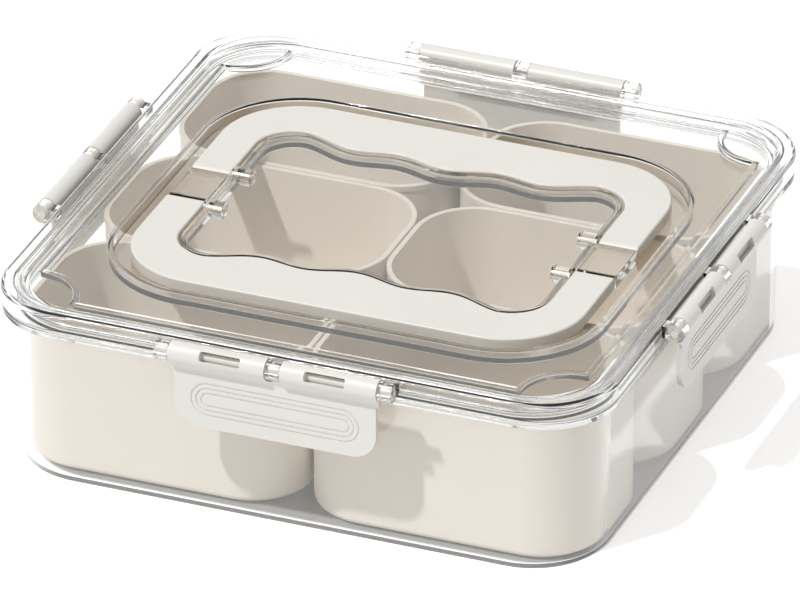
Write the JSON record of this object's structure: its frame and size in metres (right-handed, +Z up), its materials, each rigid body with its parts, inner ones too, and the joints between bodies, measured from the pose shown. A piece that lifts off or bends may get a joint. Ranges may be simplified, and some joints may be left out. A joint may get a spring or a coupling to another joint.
{
  "type": "square caddy with lift-out cups",
  "caption": "Square clear caddy with a lift-off latched lid, flip handles that lie flat in it, and loose off-white cups inside.",
  "frame": {"origin": "centre of the box's footprint, on the surface it stands on", "axes": "+Z up, +X to the right along the front side, -Y out of the front side"},
  "size_m": [0.2652, 0.2652, 0.0763],
  "materials": {
    "clear_box": "clear, polished",
    "clear_lid": "clear, polished",
    "clear_seal": "clear, soft",
    "cup_plastic": "satin off-white",
    "latch_plastic": "satin off-white",
    "handle_plastic": "satin off-white",
    "pin_plastic": "satin off-white"
  },
  "bodies": {
    "base": {"base_box": "clear_box"},
    "lid": {"lid": "clear_lid", "seal_ring": "clear_seal", "latch_pin_front": "pin_plastic", "latch_pin_right": "pin_plastic", "latch_pin_back": "pin_plastic", "latch_pin_left": "pin_plastic", "handle_pin_front_left": "pin_plastic", "handle_pin_front_right": "pin_plastic", "handle_pin_back_left": "pin_plastic", "handle_pin_back_right": "pin_plastic"},
    "latch_front": {"latch_front": "latch_plastic"},
    "latch_right": {"latch_right": "latch_plastic"},
    "latch_back": {"latch_back": "latch_plastic"},
    "latch_left": {"latch_left": "latch_plastic"},
    "handle_front": {"handle_front": "handle_plastic"},
    "handle_back": {"handle_back": "handle_plastic"},
    "cup_front_left": {"cup_front_left": "cup_plastic"},
    "cup_front_right": {"cup_front_right": "cup_plastic"},
    "cup_middle_left": {"cup_middle_left": "cup_plastic"},
    "cup_middle_right": {"cup_middle_right": "cup_plastic"},
    "cup_back_left": {"cup_back_left": "cup_plastic"},
    "cup_back_right": {"cup_back_right": "cup_plastic"}
  },
  "joints": [
    {"name": "lid_lift", "type": "slide", "parent": "base", "child": "lid", "axis": [0, 0, 1], "range_m": [0, 0.15]},
    {"name": "latch_front_hinge", "type": "hinge", "parent": "lid", "child": "latch_front", "pos_m": [0, -0.12836, 0.0721], "axis": [-1, 0, 0], "range_deg": [0, 120]},
    {"name": "latch_right_hinge", "type": "hinge", "parent": "lid", "child": "latch_right", "pos_m": [0.12836, 0, 0.0721], "axis": [0, -1, 0], "range_deg": [0, 120]},
    {"name": "latch_back_hinge", "type": "hinge", "parent": "lid", "child": "latch_back", "pos_m": [0, 0.12836, 0.0721], "axis": [1, 0, 0], "range_deg": [0, 120]},
    {"name": "latch_left_hinge", "type": "hinge", "parent": "lid", "child": "latch_left", "pos_m": [-0.12836, 0, 0.0721], "axis": [0, 1, 0], "range_deg": [0, 120]},
    {"name": "handle_front_hinge", "type": "hinge", "parent": "lid", "child": "handle_front", "pos_m": [0, -0.0142, 0.0686], "axis": [-1, 0, 0], "range_deg": [0, 90]},
    {"name": "handle_back_hinge", "type": "hinge", "parent": "lid", "child": "handle_back", "pos_m": [0, 0.0142, 0.0686], "axis": [1, 0, 0], "range_deg": [0, 90]},
    {"name": "cup_front_left_lift", "type": "slide", "parent": "base", "child": "cup_front_left", "axis": [0, 0, 1], "range_m": [0, 0.08]},
    {"name": "cup_front_right_lift", "type": "slide", "parent": "base", "child": "cup_front_right", "axis": [0, 0, 1], "range_m": [0, 0.08]},
    {"name": "cup_middle_left_lift", "type": "slide", "parent": "base", "child": "cup_middle_left", "axis": [0, 0, 1], "range_m": [0, 0.08]},
    {"name": "cup_middle_right_lift", "type": "slide", "parent": "base", "child": "cup_middle_right", "axis": [0, 0, 1], "range_m": [0, 0.08]},
    {"name": "cup_back_left_lift", "type": "slide", "parent": "base", "child": "cup_back_left", "axis": [0, 0, 1], "range_m": [0, 0.08]},
    {"name": "cup_back_right_lift", "type": "slide", "parent": "base", "child": "cup_back_right", "axis": [0, 0, 1], "range_m": [0, 0.08]}
  ],
  "couplings": [
    {"joint": "cup_front_left_lift", "follows": "lid_lift", "ratio": 0.5},
    {"joint": "cup_front_right_lift", "follows": "lid_lift", "ratio": 0.5},
    {"joint": "cup_middle_left_lift", "follows": "lid_lift", "ratio": 0.5},
    {"joint": "cup_middle_right_lift", "follows": "lid_lift", "ratio": 0.5},
    {"joint": "cup_back_left_lift", "follows": "lid_lift", "ratio": 0.5},
    {"joint": "cup_back_right_lift", "follows": "lid_lift", "ratio": 0.5}
  ]
}
